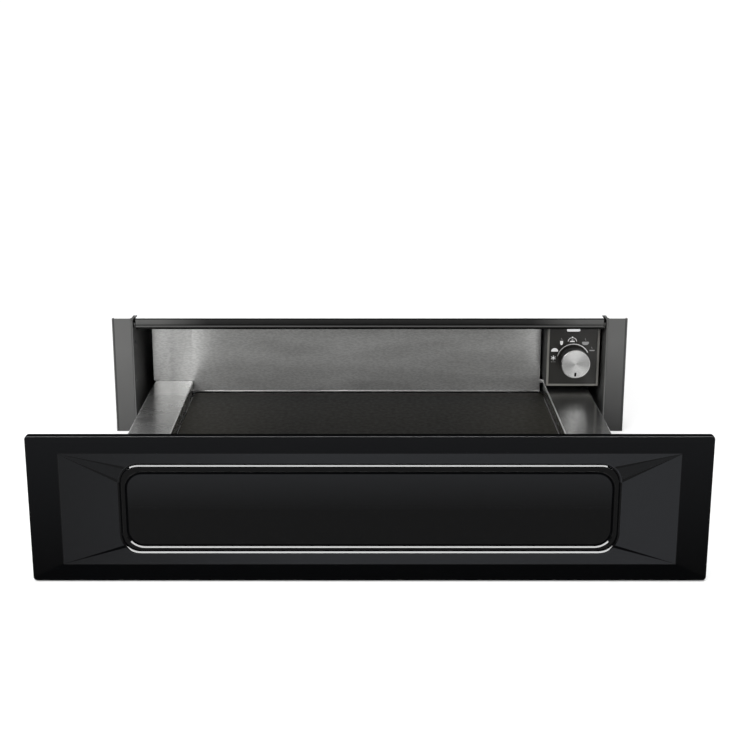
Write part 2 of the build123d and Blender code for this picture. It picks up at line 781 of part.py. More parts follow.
def control_housing():
    """Box behind the fascia, hung from the cover by two tabs."""
    y0, y1 = housing_y, housing_y + housing_depth
    housing = block(control_left, control_right, y0, y1, control_bottom, control_top)
    housing -= block(control_left + housing_wall, control_right - housing_wall, y0, y1 - housing_wall,
                     control_bottom + housing_wall, control_top - housing_wall)
    for x0 in (control_left, control_left + tab_pitch):
        housing += block(x0, x0 + tab_width, y0 + 12, y0 + 26, control_top, cover_bottom)
    return housing


def control_bezel():
    """Narrow frame round the fascia, a little proud of it."""
    y0 = fascia_y - bezel_proud
    frame = rounded_slab(control_width, control_height, 1.2, control_x, control_z, y0, housing_y)
    return frame - rounded_slab(*fascia_size, control_x, control_z, y0, housing_y)


def control_fascia():
    """Fascia with a hole for the spindle and a window for the lens."""
    y0, y1 = fascia_y - cut, housing_y + cut
    fascia = rounded_slab(*fascia_size, control_x, control_z, fascia_y, housing_y)
    fascia -= rod_y(spindle_radius + 2.0, spindle_x, spindle_z, y0, y1)
    return fascia - rounded_slab(*lens_size, lens_x, lens_z, y0, y1)


def selector_switch():
    """Rotary thermostat: body, threaded neck, bore for the spindle and five flat terminals."""
    rear = switch_y + switch_depth
    switch = block(spindle_x - 22, spindle_x + 22, switch_y, rear, spindle_z - 20, spindle_z + 20)
    switch += rod_y(12.0, spindle_x, spindle_z, switch_y - 4.0, switch_y)
    switch -= rod_y(spindle_radius + bearing_clearance, spindle_x, spindle_z, switch_y - 5, switch_y + 20)
    for index in range(-2, 3):
        z = spindle_z + 7.0 * index
        switch += block(spindle_x - 3, spindle_x + 3, rear, rear + 7, z - 0.4, z + 0.4)
    return switch


parts["control_housing"] = control_housing()
parts["control_bezel"] = control_bezel()
parts["control_fascia"] = control_fascia()
parts["indicator_lens"] = rounded_slab(*lens_size, lens_x, lens_z, fascia_y - 0.3, housing_y)
parts["indicator_lamp"] = block(lens_x - 9, lens_x + 9, housing_y, housing_y + 9,
                                lens_z - 3.4, lens_z + 3.4)
parts["selector_switch"] = selector_switch()

# ---------------------------------------------------------------- knob

knob_radius = 17.0
knob_face_y = frame_y + 0.5
cap_thickness = 1.6
skirt_wall = 2.0
skirt_front_y = knob_face_y + cap_thickness
knob_back_y = fascia_y - 1.2
spindle_tip_y = knob_face_y + 5.0
pointer_size = (2.2, 4.6, 0.6)
pointer_z = spindle_z - 12.6


def knob_skirt():
    """Hollow body of the knob with a hub on the spindle."""
    radius = knob_radius - 0.8
    skirt = rod_y(radius, spindle_x, spindle_z, skirt_front_y, knob_back_y)
    skirt -= rod_y(radius - skirt_wall, spindle_x, spindle_z, skirt_front_y + 3, knob_back_y)
    skirt += rod_y(5.5, spindle_x, spindle_z, skirt_front_y, knob_back_y)
    return skirt - rod_y(spindle_radius, spindle_x, spindle_z, spindle_tip_y, knob_back_y)


cap = rod_y(knob_radius, spindle_x, spindle_z, knob_face_y, skirt_front_y)
cap = chamfer(cap.edges().sort_by(Axis.Y)[0], 0.5)
pointer = rounded_slab(*pointer_size, spindle_x, pointer_z, knob_face_y, knob_face_y + 0.8)
parts["knob_cap"] = cap - pointer
parts["knob_pointer"] = pointer
parts["knob_skirt"] = knob_skirt()
parts["selector_spindle"] = rod_y(spindle_radius, spindle_x, spindle_z, spindle_tip_y, switch_y + 19)

# ---------------------------------------------------------------- write one file per node

os.makedirs("parts", exist_ok=True)
for name, shape in parts.items():
    export_step(shape, os.path.join("parts", name + ".step"))
print(len(parts), "nodes; closed travel", round(closed_travel, 2))
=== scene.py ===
import json
import math

import bmesh
import bpy
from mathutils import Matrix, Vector


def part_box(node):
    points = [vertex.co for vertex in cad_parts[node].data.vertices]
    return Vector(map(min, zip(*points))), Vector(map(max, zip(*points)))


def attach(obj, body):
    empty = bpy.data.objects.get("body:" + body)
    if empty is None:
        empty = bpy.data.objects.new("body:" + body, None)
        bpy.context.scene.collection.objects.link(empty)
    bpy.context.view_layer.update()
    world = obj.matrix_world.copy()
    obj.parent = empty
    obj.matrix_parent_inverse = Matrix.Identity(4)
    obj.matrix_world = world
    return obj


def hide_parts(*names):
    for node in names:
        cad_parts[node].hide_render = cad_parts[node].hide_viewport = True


# Built-in warming drawer, drawn open.  Places and sizes are in millimetres, in the frame of the packed
# model: +Z is up and the drawer opens towards -Y.  The camera, the lamps and the floor are in metres.

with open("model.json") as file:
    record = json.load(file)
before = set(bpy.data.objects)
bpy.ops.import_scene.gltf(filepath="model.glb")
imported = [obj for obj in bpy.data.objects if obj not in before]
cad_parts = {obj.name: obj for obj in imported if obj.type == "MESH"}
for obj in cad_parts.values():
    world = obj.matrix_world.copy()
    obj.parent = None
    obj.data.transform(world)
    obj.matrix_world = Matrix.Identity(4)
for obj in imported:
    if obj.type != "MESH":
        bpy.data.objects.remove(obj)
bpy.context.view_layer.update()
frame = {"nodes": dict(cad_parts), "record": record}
nodes = frame["nodes"]

MM = 0.001


def node_box(node):
    """Lowest and highest corner of a CAD node."""
    low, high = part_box(node)
    return low / MM, high / MM


def middle(low, high):
    """Centre (x, z) of a box, seen from the front."""
    return (low.x + high.x) / 2, (low.z + high.z) / 2


spindle_x, spindle_z = middle(*node_box("knob_cap"))

# ---------------------------------------------------------------- camera

camera_pitch = 13.85
camera_data = bpy.data.cameras.new("camera")
camera_data.lens = 61.845
camera_data.sensor_width = 36.0
camera_data.shift_x = 0.0004
camera_data.shift_y = -0.108
camera = bpy.data.objects.new("camera", camera_data)
camera.location = (0.0, -1.68903, 0.52135)
camera.rotation_euler = (math.radians(90.0 - camera_pitch), 0.0, 0.0)
bpy.context.scene.collection.objects.link(camera)
bpy.context.scene.camera = camera

# ---------------------------------------------------------------- material helpers


class Finish:
    """A node material that is put together step by step."""

    def __init__(self, name, colour, roughness=0.5, metallic=0.0, specular=0.5):
        self.material = bpy.data.materials.new(name)
        self.material.use_nodes = True
        self.tree = self.material.node_tree
        self.shader = self.tree.nodes["Principled BSDF"]
        self.colour = colour
        self.set("Base Color", (*colour, 1.0))
        self.set("Roughness", roughness)
        self.set("Metallic", metallic)
        self.set("Specular IOR Level", specular)

    def set(self, socket, value):
        """A value that is the same all over the surface."""
        self.shader.inputs[socket].default_value = value

    def node(self, kind, **values):
        """A new node with some of its settings."""
        made = self.tree.nodes.new(kind)
        for key, value in values.items():
            setattr(made, key, value)
        return made

    def link(self, output, target):
        self.tree.links.new(output, target)

    def placed(self, stretch=(1.0, 1.0, 1.0), shift=(0.0, 0.0, 0.0)):
        """Object coordinates in metres, multiplied on each axis and then moved."""
        place = self.node("ShaderNodeTexCoord")
        mapping = self.node("ShaderNodeMapping")
        mapping.inputs["Scale"].default_value = stretch
        mapping.inputs["Location"].default_value = shift
        self.link(place.outputs["Object"], mapping.inputs["Vector"])
        return mapping.outputs["Vector"]

    def noise(self, scale, stretch=(1.0, 1.0, 1.0), detail=3.0, rough=0.5):
        """Cloudy noise between 0 and 1, mostly between 0.3 and 0.7."""
        made = self.node("ShaderNodeTexNoise")
        made.inputs["Scale"].default_value = scale
        made.inputs["Detail"].default_value = detail
        made.inputs["Roughness"].default_value = rough
        self.link(self.placed(stretch), made.inputs["Vector"])
        return made.outputs["Fac"]

    def spread(self, source, low, high, from_low=0.3, from_high=0.7):
        """A value stretched from one range to another, and held inside it."""
        made = self.node("ShaderNodeMapRange")
        made.inputs["From Min"].default_value = from_low
        made.inputs["From Max"].default_value = from_high
        made.inputs["To Min"].default_value = low
        made.inputs["To Max"].default_value = high
        self.link(source, made.inputs["Value"])
        return made.outputs["Result"]

    def ramp(self, axis, start, end, low=0.0, high=1.0, both_sides=False):
        """A value that goes from low to high between two places along an axis, in millimetres."""
        axes = self.node("ShaderNodeSeparateXYZ")
        self.link(self.placed(), axes.inputs["Vector"])
        place = axes.outputs[axis]
        if both_sides:
            place = self.maths("ABSOLUTE", place)
        return self.spread(place, low, high, start * MM, end * MM)

    def maths(self, operation, *values):
        """One step of arithmetic; a value is a number or the output of another node."""
        made = self.node("ShaderNodeMath", operation=operation)
        for socket, value in zip(made.inputs, values):
            if isinstance(value, float):
                socket.default_value = value
            else:
                self.link(value, socket)
        return made.outputs["Value"]

    def tint(self, source, low, high, from_low=0.3, from_high=0.7):
        """The base colour runs between two shares of its own colour."""
        made = self.node("ShaderNodeMix", data_type="RGBA")
        made.inputs["A"].default_value = (*(c * low for c in self.colour), 1.0)
        made.inputs["B"].default_value = (*(c * high for c in self.colour), 1.0)
        self.link(self.spread(source, 0.0, 1.0, from_low, from_high), made.inputs["Factor"])
        self.link(made.outputs["Result"], self.shader.inputs["Base Color"])

    def shade(self, level, most=1.0):
        """The base colour, multiplied by a level between 0 and the most that is given."""
        self.tint(level, 0.0, most, 0.0, most)

    def roughen(self, source, low, high):
        """The roughness runs between two values."""
        self.link(self.spread(source, low, high), self.shader.inputs["Roughness"])

    def bump(self, source, strength, distance):
        """A height in millimetres, from a value between 0 and 1."""
        made = self.node("ShaderNodeBump")
        made.inputs["Strength"].default_value = strength
        made.inputs["Distance"].default_value = distance * MM
        self.link(source, made.inputs["Height"])
        self.link(made.outputs["Normal"], self.shader.inputs["Normal"])

    def glow(self, colour, strength):
        """A little light of its own."""
        self.set("Emission Color", (*colour, 1.0))
        self.set("Emission Strength", strength)

    def brushing(self, anisotropy, axis=None):
        """Highlights drawn out across the brushing.  The axis is that of a turned piece."""
        self.set("Anisotropic", anisotropy)
        tangent = self.node("ShaderNodeTangent")
        if axis:
            tangent.direction_type = "RADIAL"
            tangent.axis = axis
            self.set("Anisotropic Rotation", 0.25)
        else:
            tangent.direction_type = "UV_MAP"
        self.link(tangent.outputs["Tangent"], self.shader.inputs["Tangent"])


# ---------------------------------------------------------------- materials

# A fade is a ramp's settings: the base colour is multiplied by the ramp's value. Each fade in this script
# paints light or shade into a colour.


def enamel(name, tone, gloss=0.08, fade=None):
    """Black enamel, a little bluish; the tone and fade given to each copy paint light and shade."""
    made = Finish(name, (tone * 0.92, tone * 0.97, tone * 1.08), 0.05, specular=gloss)
    if fade:
        made.shade(made.ramp(**fade))
    else:
        made.tint(made.noise(25.0), 0.96, 1.04)
    made.roughen(made.noise(9.0, detail=2.0), 0.035, 0.06)
    made.bump(made.noise(60.0, detail=1.0), 0.02, 0.01)
    return made.material


def satin_paint(name, tone, gloss):
    """Dark satin paint whose base colour isn't tinted yet."""
    made = Finish(name, (tone, tone, tone * 0.98), 0.42, specular=gloss)
    made.roughen(made.noise(40.0), 0.38, 0.47)
    made.bump(made.noise(900.0, detail=2.0), 0.15, 0.03)
    return made


def dark_paint(name, tone, gloss=0.4, fade=None):
    """Dark satin paint, cloudy, or with a fade that paints light and shade along one axis."""
    made = satin_paint(name, tone, gloss)
    if fade:
        made.shade(made.ramp(**fade))
    else:
        made.tint(made.noise(14.0), 0.94, 1.05)
    return made.material


def flange_paint(name, tone, top, foot_share):
    """Dark paint with painted shade, darker towards the floor and along the outer fold, and a bare cut
    edge on the return.
    """
    low, high = node_box("right_front_flange")
    fold_x = high.x - 2.0
    fold_edge, fold_core = 0.9, 0.5              # half widths of the fold's line, and of its darkest part
    fold_share = 0.25
    cut_z = high.z - 0.4
    return_y = low.y + 3.5
    bare_gain = 7.0
    made = satin_paint(name, tone, 0.4)
    # Painted shade: a dark line along the outer fold, and the paint darker towards the floor.
    inner_side = made.ramp("X", fold_x - fold_edge, fold_x - fold_core, both_sides=True)
    outer_side = made.ramp("X", fold_x + fold_edge, fold_x + fold_core, both_sides=True)
    painted_fold_shade = made.maths("MULTIPLY", inner_side, outer_side)
    painted_floor_shade = made.ramp("Z", 0.0, top, foot_share)
    painted = made.maths("MULTIPLY", painted_floor_shade, made.spread(painted_fold_shade, 1.0, fold_share, 0.0, 1.0))
    on_top = made.ramp("Z", cut_z, cut_z + 0.3)
    behind = made.ramp("Y", return_y, return_y + 1.0)
    bare = made.maths("MULTIPLY", on_top, behind)
    made.shade(made.maths("MULTIPLY_ADD", bare, bare_gain, painted), 1.0 + bare_gain)
    return made.material


def brushed_steel(name, colour, roughness, fade=None):
    """Steel with fine straight brushing along X; a fade, where given, paints shade along one axis."""
    made = Finish(name, colour, roughness, metallic=1.0)
    along_x = (0.25, 1.0, 1.0)
    fine = made.noise(1100.0, along_x, detail=1.0)
    level = made.spread(fine, 0.89, 1.09, 0.4, 0.6)
    if fade:
        level = made.maths("MULTIPLY", level, made.ramp(**fade))
    made.shade(level, 1.2)
    made.roughen(made.noise(60.0, along_x), roughness - 0.02, roughness + 0.02)
    made.bump(fine, 0.03, 0.002)
    made.brushing(0.8)
    return made.material


def zinc_sheet():
    """Galvanised sheet, with its faint cloudy pattern."""
    made = Finish("zinc", (0.95, 0.955, 0.96), 0.42, metallic=1.0)
    cells = made.node("ShaderNodeTexVoronoi")
    cells.inputs["Scale"].default_value = 110.0
    made.link(made.placed(), cells.inputs["Vector"])
    made.tint(cells.outputs["Color"], 0.975, 1.01)
    made.roughen(made.noise(60.0), 0.38, 0.46)
    made.bump(made.noise(300.0), 0.03, 0.01)
    return made.material


def turned_metal():
    """The knob's face: fine concentric grooves, and two bright fans painted into its colour as painted
    highlights, over the real drawn-out highlights of the brushing.
    """
    highlight_fan_phase = -115.0
    made = Finish("knob_metal", (0.78, 0.78, 0.77), 0.27, metallic=1.0)
    about_spindle = made.placed(shift=(-spindle_x * MM, 0.0, -spindle_z * MM))
    rings = made.node("ShaderNodeTexWave", wave_type="RINGS", rings_direction="Y")
    rings.inputs["Scale"].default_value = 900.0
    rings.inputs["Distortion"].default_value = 0.4
    made.link(about_spindle, rings.inputs["Vector"])
    axes = made.node("ShaderNodeSeparateXYZ")
    made.link(about_spindle, axes.inputs["Vector"])
    # Painted highlight: two bright fans across the face, from the angle about the spindle.
    angle = made.maths("ARCTAN2", axes.outputs["Z"], axes.outputs["X"])
    doubled = made.maths("MULTIPLY_ADD", angle, 2.0, math.radians(highlight_fan_phase))
    painted_highlight_fans = made.spread(made.maths("SINE", doubled), 0.0, 1.0, -1.0, 1.0)
    made.tint(made.maths("MULTIPLY_ADD", rings.outputs["Fac"], 0.12, painted_highlight_fans), 0.5, 1.0, 0.0, 1.12)
    made.bump(rings.outputs["Fac"], 0.08, 0.008)
    made.brushing(0.85, "Y")
    return made.material


def plain_metal(name, colour, roughness):
    """Metal with a faint grain."""
    made = Finish(name, colour, roughness, metallic=1.0)
    grain = made.noise(220.0, detail=3.0)
    made.tint(grain, 0.92, 1.06)
    made.roughen(grain, roughness - 0.06, roughness + 0.07)
    made.bump(made.noise(700.0), 0.06, 0.02)
    return made.material


def moulded_plastic(name, colour, roughness=0.45):
    """Plastic with a fine moulded grain."""
    made = Finish(name, colour, roughness, specular=0.45)
    made.tint(made.noise(30.0), 0.93, 1.06)
    made.roughen(made.noise(90.0), roughness - 0.05, roughness + 0.07)
    made.bump(made.noise(1500.0, detail=2.0), 0.12, 0.02)
    return made.material


def rubber_mat():
    """Smooth dark mat, a little paler along both side edges; the paler sides are painted light."""
    made = Finish("mat", (0.0088, 0.0082, 0.0066), 0.55, specular=0.09)
    # Painted light: paler towards both side edges, darker in the middle.
    painted_side_light = made.ramp("X", 90.0, 208.0, 0.6, 1.85, both_sides=True)
    clouds = made.spread(made.noise(12.0), 0.92, 1.08)
    made.shade(made.maths("MULTIPLY", painted_side_light, clouds), 2.0)
    made.roughen(made.noise(200.0), 0.5, 0.62)
    made.bump(made.noise(1400.0, detail=2.0), 0.3, 0.03)
    return made.material


def mineral_wool():
    """Pale brown fibres, lying flat."""
    made = Finish("wool", (0.42, 0.38, 0.3), 0.95, specular=0.1)
    fibres = made.noise(160.0, (1.0, 1.0, 3.0), detail=6.0, rough=0.8)
    made.tint(fibres, 0.7, 1.15)
    made.bump(fibres, 0.6, 0.5)
    return made.material


def bright_lens():
    """The lit white lens of the indicator."""
    made = Finish("lens", (0.92, 0.93, 0.95), 0.3)
    made.tint(made.noise(200.0), 0.96, 1.0)
    made.glow((1.0, 1.0, 1.0), 0.4)
    return made.material


def print_ink_with_painted_glow(name, tone):
    """Printed marks that glow a little, a painted light, so that they read in the shade of the opening.
    """
    made = Finish(name, (tone, tone, tone), 0.5)
    made.tint(made.noise(120.0), 0.97, 1.0)
    # Painted light: the print glows, though it is no lamp.
    made.glow(made.colour, 0.25)
    return made.material


def paper_floor():
    """The pale ground."""
    made = Finish("floor", (0.9, 0.9, 0.9), 0.8, specular=0.1)
    made.tint(made.noise(3.0), 0.995, 1.005)
    return made.material


# Seven places in the list of enamels, then four areas of the front that choose among them.
# The seven enamels are lit and shaded copies of one black enamel: their tones and fades are painted light
# and shade.
FLAT, SLOPE, DARK, FACET_SHADE, CREASE_SHADE, PANEL, RING, GROOVE, WALL, EDGE, FLANK = range(11)
enamels = [
    # Flats: painted shade, darker towards the floor.
    enamel("enamel", 0.0065, gloss=0.024, fade=dict(axis="Z", start=1.0, end=136.0, low=0.12)),
    # Slopes: a paler tone than the flats, a painted sheen, and darker to the left, a painted shade.
    enamel("enamel_slopes_painted_sheen", 0.0168, fade=dict(axis="X", start=-270.0, end=-50.0, low=0.42)),
    # Painted shade: the darkest enamel, for the top face, the lower edge, the corner lines and the
    # groove's lower side.
    enamel("enamel_painted_shade", 0.0022, gloss=0.0),
    # Facets: darker than the slopes, a painted shade.
    enamel("enamel_facets_painted_shade", 0.0065),
    # Painted shade lines along the recess edge and at the corners.
    enamel("enamel_creases_painted_shade", 0.002),
    # Middle panel: paler towards the top, a painted sheen, and darker below, a painted shade.
    enamel("enamel_panel_painted_sheen", 0.0115, fade=dict(axis="Z", start=66.0, end=106.0, low=0.1)),
    # Ring: the darkest tone, a painted shade.
    enamel("enamel_ring_painted_shade", 0.0012),
]
wall_steel = (0.58, 0.58, 0.57)
ledge_steel = (0.68, 0.68, 0.675)
# Painted shade: the rear wall darker towards its left end.
wall_painted_shade = dict(axis="X", start=-240.0, end=-215.0, low=0.58)
# Painted shade: the left ledge darker towards the front.
left_ledge_painted_shade = dict(axis="Y", start=-640.0, end=-440.0, low=0.4)
# Painted sheen: the rail's band paler towards both ends, and darker in the middle, a painted shade.
rail_painted_sheen = dict(axis="X", start=188.0, end=242.0, low=0.2, both_sides=True)

finishes = {
    "enamel": enamels[FLAT],
    "dark_paint": dark_paint("dark_paint", 0.105),
    "brushed": brushed_steel("wall_steel", wall_steel, 0.3, wall_painted_shade),
    "zinc": zinc_sheet(),
    "runner_steel": plain_metal("runner_steel", (0.55, 0.56, 0.57), 0.28),
    "mat": rubber_mat(),
    "seal": moulded_plastic("seal", (0.03, 0.03, 0.03), 0.6),
    "wool": mineral_wool(),
    "black_plastic": moulded_plastic("black_plastic", (0.014, 0.014, 0.014), 0.32),
    "bezel": moulded_plastic("bezel", (0.25, 0.245, 0.225)),
    "fascia": moulded_plastic("fascia", (0.02, 0.019, 0.016), 0.35),
    "lens": bright_lens(),
    "knob_metal": turned_metal(),
    "pointer": dark_paint("pointer", 0.002, 0.05),
    "white_plastic": moulded_plastic("white_plastic", (0.75, 0.75, 0.73)),
    "ceramic": moulded_plastic("ceramic", (0.8, 0.78, 0.72), 0.5),
    "heater_steel": plain_metal("heater_steel", (0.3, 0.29, 0.28), 0.4),
    "motor_steel": plain_metal("motor_steel", (0.42, 0.42, 0.43), 0.35),
    "aluminium": plain_metal("aluminium", (0.75, 0.75, 0.76), 0.35),
}
own_finishes = {
    "control_housing": dark_paint("housing_paint", 0.025, 0.2),
    "left_front_flange": flange_paint("left_flange_paint_painted_shade", 0.12, 100.0, 0.5),
    "right_front_flange": flange_paint("right_flange_paint_painted_shade", 0.115, 110.0, 0.1),
    "left_ledge": brushed_steel("left_ledge_steel_painted_shade", ledge_steel, 0.27, left_ledge_painted_shade),
    "right_ledge": brushed_steel("right_ledge_steel", ledge_steel, 0.2),
}

# ---------------------------------------------------------------- mesh helpers


def smooth_object(name, mesh_source, *materials):
    """A finished mesh object with face-weighted normals."""
    mesh = bpy.data.meshes.new(name)
    bmesh.ops.recalc_face_normals(mesh_source, faces=mesh_source.faces)
    for face in mesh_source.faces:
        face.smooth = True
    mesh_source.to_mesh(mesh)
    mesh_source.free()
    made = bpy.data.objects.new(name, mesh)
    bpy.context.scene.collection.objects.link(made)
    for material in materials:
        made.data.materials.append(material)
    weighted = made.modifiers.new("normals", "WEIGHTED_NORMAL")
    weighted.mode = "FACE_AREA"
    weighted.weight = 90
    weighted.keep_sharp = True
    return made


def dress(made, body, slot, *replaced):
    """Says what a piece rides on and hides the nodes it stands for. The slot argument, its finish, is not
    used.
    """
    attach(made, body)
    if replaced:
        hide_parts(*replaced)
    return made


def rounded_outline(size, centre, y, corner_steps):
    """Points round a rounded rectangle (width, height, corner radius) seen from the front."""
    width, height, radius = size
    points = []
    for turn, (sign_x, sign_z) in enumerate(((1, 1), (-1, 1), (-1, -1), (1, -1))):
        corner_x = centre[0] + sign_x * (width / 2 - radius)
        corner_z = centre[1] + sign_z * (height / 2 - radius)
        for step in range(corner_steps + 1):
            angle = math.radians(90.0 * (turn + step / corner_steps))
            points.append((corner_x + radius * math.cos(angle), y, corner_z + radius * math.sin(angle)))
    return points


def flat_outline(low, high, inset, z, radius=2.0, corner_steps=6):
    """Points round a rounded rectangle seen from above."""
    size = (high.x - low.x - 2 * inset, high.y - low.y - 2 * inset, radius)
    centre = ((low.x + high.x) / 2, (low.y + high.y) / 2)
    return [(x, y, z) for x, _, y in rounded_outline(size, centre, 0.0, corner_steps)]


def front_rows(node, radius, rows, corner_steps=6, wider=0.0):
    """Outlines of a node's face; each row (by, y) moves it outwards and sets its depth."""
    low, high = node_box(node)
    size = (high.x - low.x + wider, high.z - low.z, radius)
    return [rounded_outline(grown(size, by), middle(low, high), y, corner_steps) for by, y in rows]


def grown(size, by, least_radius=0.05):
    """A rounded rectangle with its outline moved outwards."""
    return size[0] + 2 * by, size[1] + 2 * by, max(size[2] + by, least_radius)


def between(first, second, share):
    """The numbers at a share of the way from the first to the second."""
    return tuple(a + (b - a) * share for a, b in zip(first, second))


def add_loop(made, points):
    """New vertices at a row of points."""
    return [made.verts.new(Vector(point) * MM) for point in points]


def bridge(made, first, second):
    """Faces between two loops with as many vertices each."""
    faces = []
    count = len(first)
    for index in range(count):
        after = (index + 1) % count
        faces.append(made.faces.new((first[index], first[after], second[after], second[index])))
    return faces


def lofted(name, outlines, materials, cap_first=True, slot_of=lambda band, column: 0):
    """A skin over a row of outlines; slot_of picks the material of the face (band, column)."""
    made = bmesh.new()
    loops = [add_loop(made, outline) for outline in outlines]
    for band, (first, after) in enumerate(zip(loops, loops[1:])):
        for column, face in enumerate(bridge(made, first, after)):
            face.material_index = slot_of(band, column)
    if cap_first:
        made.faces.new(loops[0])
    last = made.faces.new(loops[-1])
    last.material_index = slot_of(len(outlines) - 1, 0)
    return smooth_object(name, made, *materials)


def closed_loft(name, outlines, material):
    """A ring-shaped skin: the last outline joins the first."""
    made = bmesh.new()
    loops = [add_loop(made, outline) for outline in outlines]
    for first, second in zip(loops, loops[1:] + loops[:1]):
        bridge(made, first, second)
    return smooth_object(name, made, material)


def filleted(points, steps=5):
    """A line through corner points (u, v, radius), with each inner corner rounded."""
    line = [points[0][:2]]
    for before, corner, after in zip(points, points[1:], points[2:]):
        here = Vector(corner[:2])
        radius = corner[2]
        back = (Vector(before[:2]) - here).normalized()
        ahead = (Vector(after[:2]) - here).normalized()
        half = back.angle(ahead) / 2.0
        tangent = radius / math.tan(half)
        centre = here + (back + ahead).normalized() * radius / math.sin(half)
        start = here + back * tangent - centre
        sweep = start.angle_signed(here + ahead * tangent - centre)
        for step in range(steps + 1):
            angle = -sweep * step / steps
            turned_x = start.x * math.cos(angle) - start.y * math.sin(angle)
            turned_y = start.x * math.sin(angle) + start.y * math.cos(angle)
            line.append((centre.x + turned_x, centre.y + turned_y))
    line.append(points[-1][:2])
    return line


def sheet_outline(points, thickness):
    """The closed section of a bent sheet, from the corner points (u, v, radius) of its middle line."""
    line = [Vector(point) for point in filleted(points)]
    left, right = [], []
    for index, here in enumerate(line):
        before = line[max(index - 1, 0)]
        after = line[min(index + 1, len(line) - 1)]
        run = (after - before).normalized()
        side = Vector((-run.y, run.x)) * thickness / 2.0
        left.append(here + side)
        right.append(here - side)
    return [tuple(point) for point in left + right[::-1]]


def add_extrusion(made, outline, axis, start, end, u_along=False):
    """Adds a closed section drawn out along an axis; U of its map goes round the section, or along."""
    uv = made.loops.layers.uv.verify()
    along_axis, u_axis, v_axis = {"X": (0, 1, 2), "Y": (1, 0, 2), "Z": (2, 0, 1)}[axis]
    rings = []
    for place in (start, end):
        ring = []
        for u, v in outline:
            point = [0.0, 0.0, 0.0]
            point[along_axis] = place
            point[u_axis] = u
            point[v_axis] = v
            ring.append(point)
        rings.append(add_loop(made, ring))
    run = 0.0
    for index, face in enumerate(bridge(made, *rings)):
        step = (Vector(outline[(index + 1) % len(outline)]) - Vector(outline[index])).length
        corners = ((run, start), (run + step, start), (run + step, end), (run, end))
        for loop, (profile, along) in zip(face.loops, corners):
            loop[uv].uv = (along * MM, profile * MM) if u_along else (profile * MM, along * MM)
        run += step
    made.faces.new(rings[0])
    made.faces.new(rings[1])


def turned(name, profile, material, steps=96):
    """A piece turned about the spindle; the profile is (radius, y) from the middle outwards and back."""
    made = bmesh.new()
    rings = []
    for radius, y in profile:
        ring = []
        for step in range(steps if radius else 1):
            angle = 2.0 * math.pi * step / steps
            ring.append((spindle_x + radius * math.cos(angle), y, spindle_z + radius * math.sin(angle)))
        rings.append(add_loop(made, ring))
    for first, second in zip(rings, rings[1:]):
        for step in range(steps):
            after = (step + 1) % steps
            if len(first) == 1:
                made.faces.new((first[0], second[after], second[step]))
            elif len(second) == 1:
                made.faces.new((first[step], first[after], second[0]))
            else:
                made.faces.new((first[step], first[after], second[after], second[step]))
    return smooth_object(name, made, material)


# ---------------------------------------------------------------- enamelled front

front_low, front_high = node_box("front_panel")
front_y = front_low.y
front_z = (front_low.z + front_high.z) / 2
edge_z = front_z + 0.05                      # the enamel stands a little over the sheet at the edges
edge_cover = 0.7
edge_rounding = 1.1
edge_steps = 6
back_chamfer = 0.3
back_lap = 1.4
front_size = (front_high.x - front_low.x, front_high.z - front_low.z + edge_cover, 3.5)
recess_size = (540.6, 103.6, 0.6)
crease_outside, crease_inside = 0.6, 0.1
shoulder_size = (439.8, 84.6, 18.0)          # the slopes end and the ring begins
shoulder_z = front_z + 0.4
crest_size = (430.4, 72.6, 17.0)             # inner edge of the ring's crest
crest_z = front_z - 0.8
slope_depth = 1.1
slope_shares = (0.01, 0.5, 0.99)             # rows close to both ends keep the creases sharp
crest_start = 3.5                            # insets from the shoulder
crest_end = 4.9
panel_start = 8.3
ring_section = (                             # inset, depth behind the front, rounding
    (-0.02, slope_depth - 0.01, 0.0), (1.2, 1.97, 0.08), (2.15, 1.96, 0.08), (3.15, 1.24, 0.1),
    (5.1, 1.1, 0.1), (6.25, 1.92, 0.08), (6.85, 2.5, 0.08), (panel_start, 1.95, 0.15),
    (9.6, 1.95, 0.0))
panel_crown = ((16.0, 1.83), (23.0, 1.75), (30.0, 1.71), (37.0, 1.7))
corner_steps = 10
facet_end = 5                                # steps of an upper corner's facet
crease_shade_step = 4                              # the step of a lower corner that holds its painted shade line
dark_flank_step = 3                          # from here to the side, the upper corners' flank is dark

UPPER_RIGHT, UPPER_LEFT, LOWER_LEFT, LOWER_RIGHT = range(4)
ring_areas = ((1.1, WALL), (2.1, GROOVE), (3.12, FLANK), (6.2, RING), (panel_start - 0.05, DARK))


def ring_outline(inset):
    """Size and height of the ring's outline at an inset from the shoulder; its band is wider above."""
    if inset <= crest_start:
        return grown(shoulder_size, -inset), shoulder_z
    if inset >= crest_end:
        return grown(crest_size, crest_end - inset), crest_z
    share = (inset - crest_start) / (crest_end - crest_start)
    size = between(grown(shoulder_size, -crest_start), crest_size, share)
    return size, shoulder_z + (crest_z - shoulder_z) * share


def ring_area(inset):
    """The area that an inset from the shoulder lies in."""
    for end, area in ring_areas:
        if inset < end:
            return area
    return PANEL


